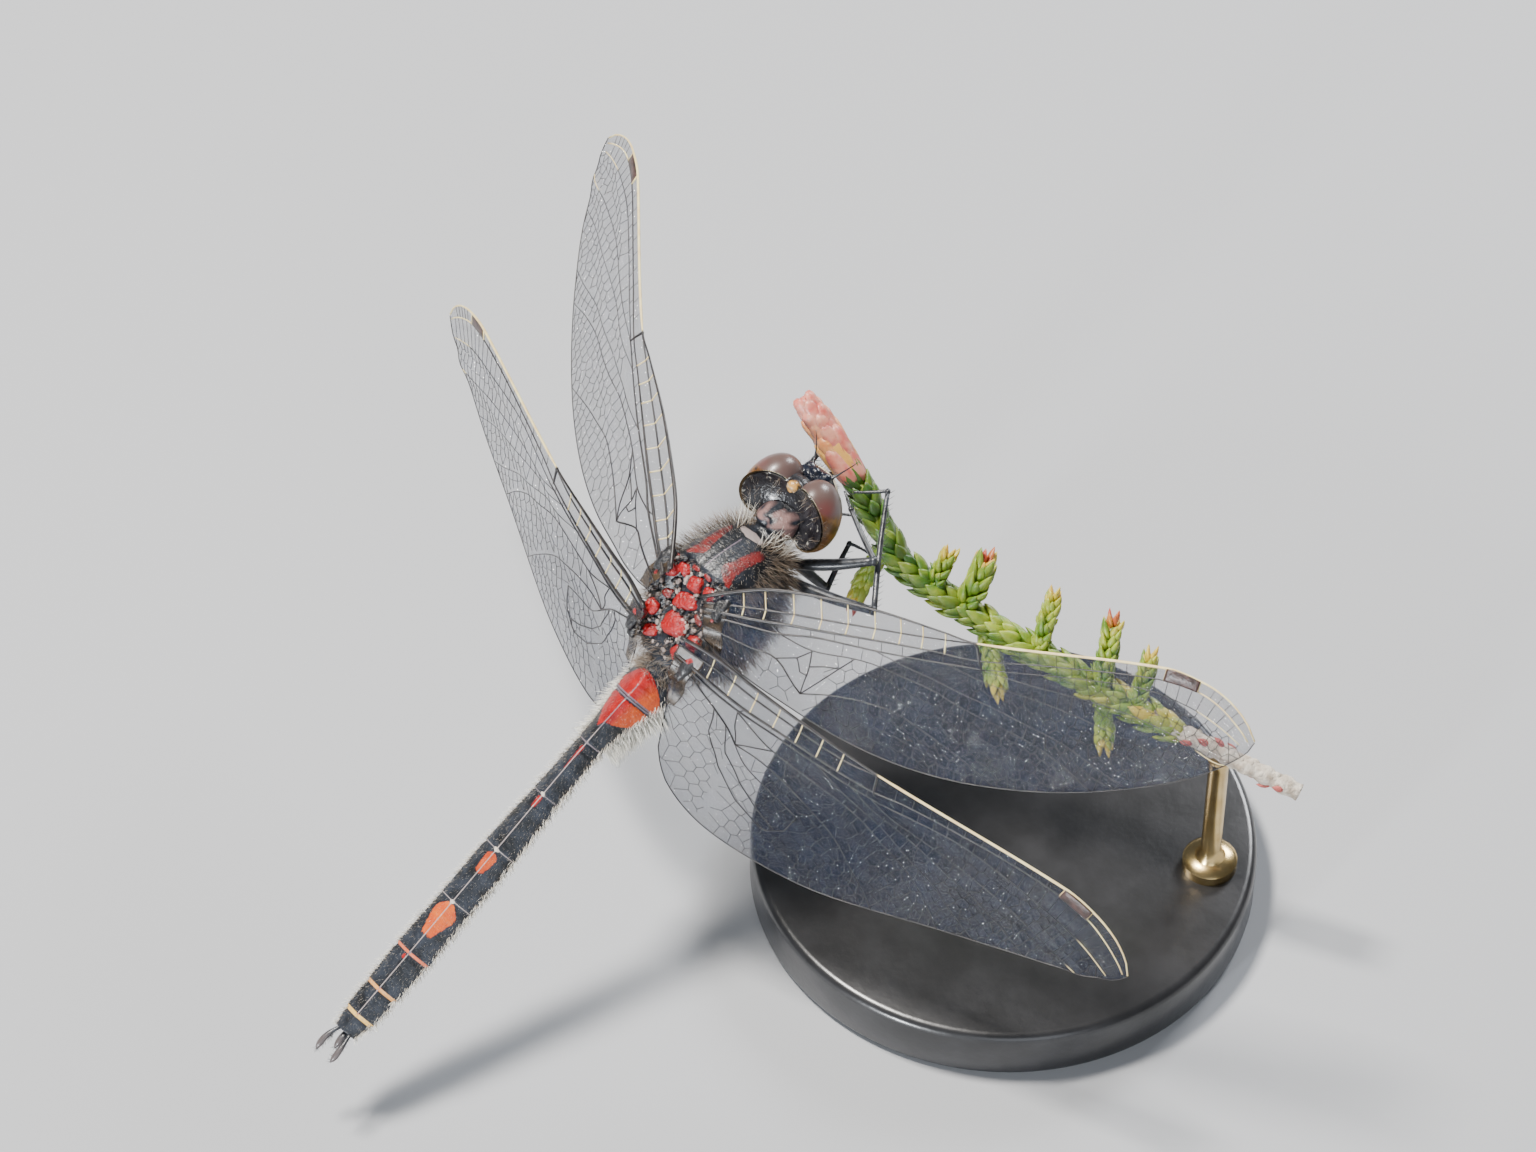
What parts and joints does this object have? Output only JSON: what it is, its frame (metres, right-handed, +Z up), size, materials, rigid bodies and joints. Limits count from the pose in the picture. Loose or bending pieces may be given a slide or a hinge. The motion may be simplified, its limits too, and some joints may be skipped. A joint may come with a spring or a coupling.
{
  "type": "dragonfly",
  "caption": "Male small whiteface dragonfly resting nose up on a cut heather sprig, wings spread forward and down, on a disc stand.",
  "frame": {"origin": "centre of the stand's underside, on the floor", "axes": "+Z up, the dragonfly's head towards -Y and its left side towards +X, wings spread along X"},
  "size_m": [0.0513, 0.0472, 0.0254],
  "materials": {
    "thorax_hide": "black hairy shell with brick-red shoulder stripes",
    "abdomen_hide": "black satin segments with small orange-red spots",
    "abdomen_red": "red front segments, satin",
    "head_shell": "black head shell with pale marks",
    "face_shell": "creamy white face",
    "eye_shell": "brown compound eye, glossy",
    "wing_film": "clear glossy film on black veins",
    "leg_shell": "black shell, satin",
    "heather_bud": "pink flower bud",
    "heather_leaf": "green scale leaves",
    "heather_stem": "pale bare twig",
    "stand_black": "polished black disc",
    "stand_brass": "brass rod"
  },
  "bodies": {
    "root": {"abdomen_1": "abdomen_hide", "abdomen_10": "abdomen_hide", "abdomen_2": "abdomen_red", "abdomen_3": "abdomen_red", "abdomen_4": "abdomen_hide", "abdomen_5": "abdomen_hide", "abdomen_6": "abdomen_hide", "abdomen_7": "abdomen_hide", "abdomen_8": "abdomen_hide", "abdomen_9": "abdomen_hide", "antenna_left": "leg_shell", "antenna_right": "leg_shell", "appendage_left": "leg_shell", "appendage_lower": "leg_shell", "appendage_right": "leg_shell", "eye_left": "eye_shell", "eye_right": "eye_shell", "frons": "face_shell", "head": "head_shell", "leg_fore_left_femur": "leg_shell", "leg_fore_left_tarsus": "leg_shell", "leg_fore_left_tibia": "leg_shell", "leg_fore_right_femur": "leg_shell", "leg_fore_right_tarsus": "leg_shell", "leg_fore_right_tibia": "leg_shell", "leg_hind_left_femur": "leg_shell", "leg_hind_left_tarsus": "leg_shell", "leg_hind_left_tibia": "leg_shell", "leg_hind_right_femur": "leg_shell", "leg_hind_right_tarsus": "leg_shell", "leg_hind_right_tibia": "leg_shell", "leg_mid_left_femur": "leg_shell", "leg_mid_left_tarsus": "leg_shell", "leg_mid_left_tibia": "leg_shell", "leg_mid_right_femur": "leg_shell", "leg_mid_right_tarsus": "leg_shell", "leg_mid_right_tibia": "leg_shell", "mouthparts": "face_shell", "perch_bud": "heather_bud", "perch_leafy": "heather_leaf", "perch_shoot_1": "heather_leaf", "perch_shoot_2": "heather_leaf", "perch_shoot_3": "heather_leaf", "perch_shoot_4": "heather_leaf", "perch_shoot_5": "heather_leaf", "perch_shoot_6": "heather_leaf", "perch_shoot_7": "heather_leaf", "perch_shoot_8": "heather_leaf", "perch_stem": "heather_stem", "prothorax": "thorax_hide", "stand_base": "stand_black", "stand_rod": "stand_brass", "thorax": "thorax_hide", "vertex": "head_shell", "wing_fore_left": "wing_film", "wing_fore_right": "wing_film", "wing_hind_left": "wing_film", "wing_hind_right": "wing_film"}
  },
  "joints": []
}
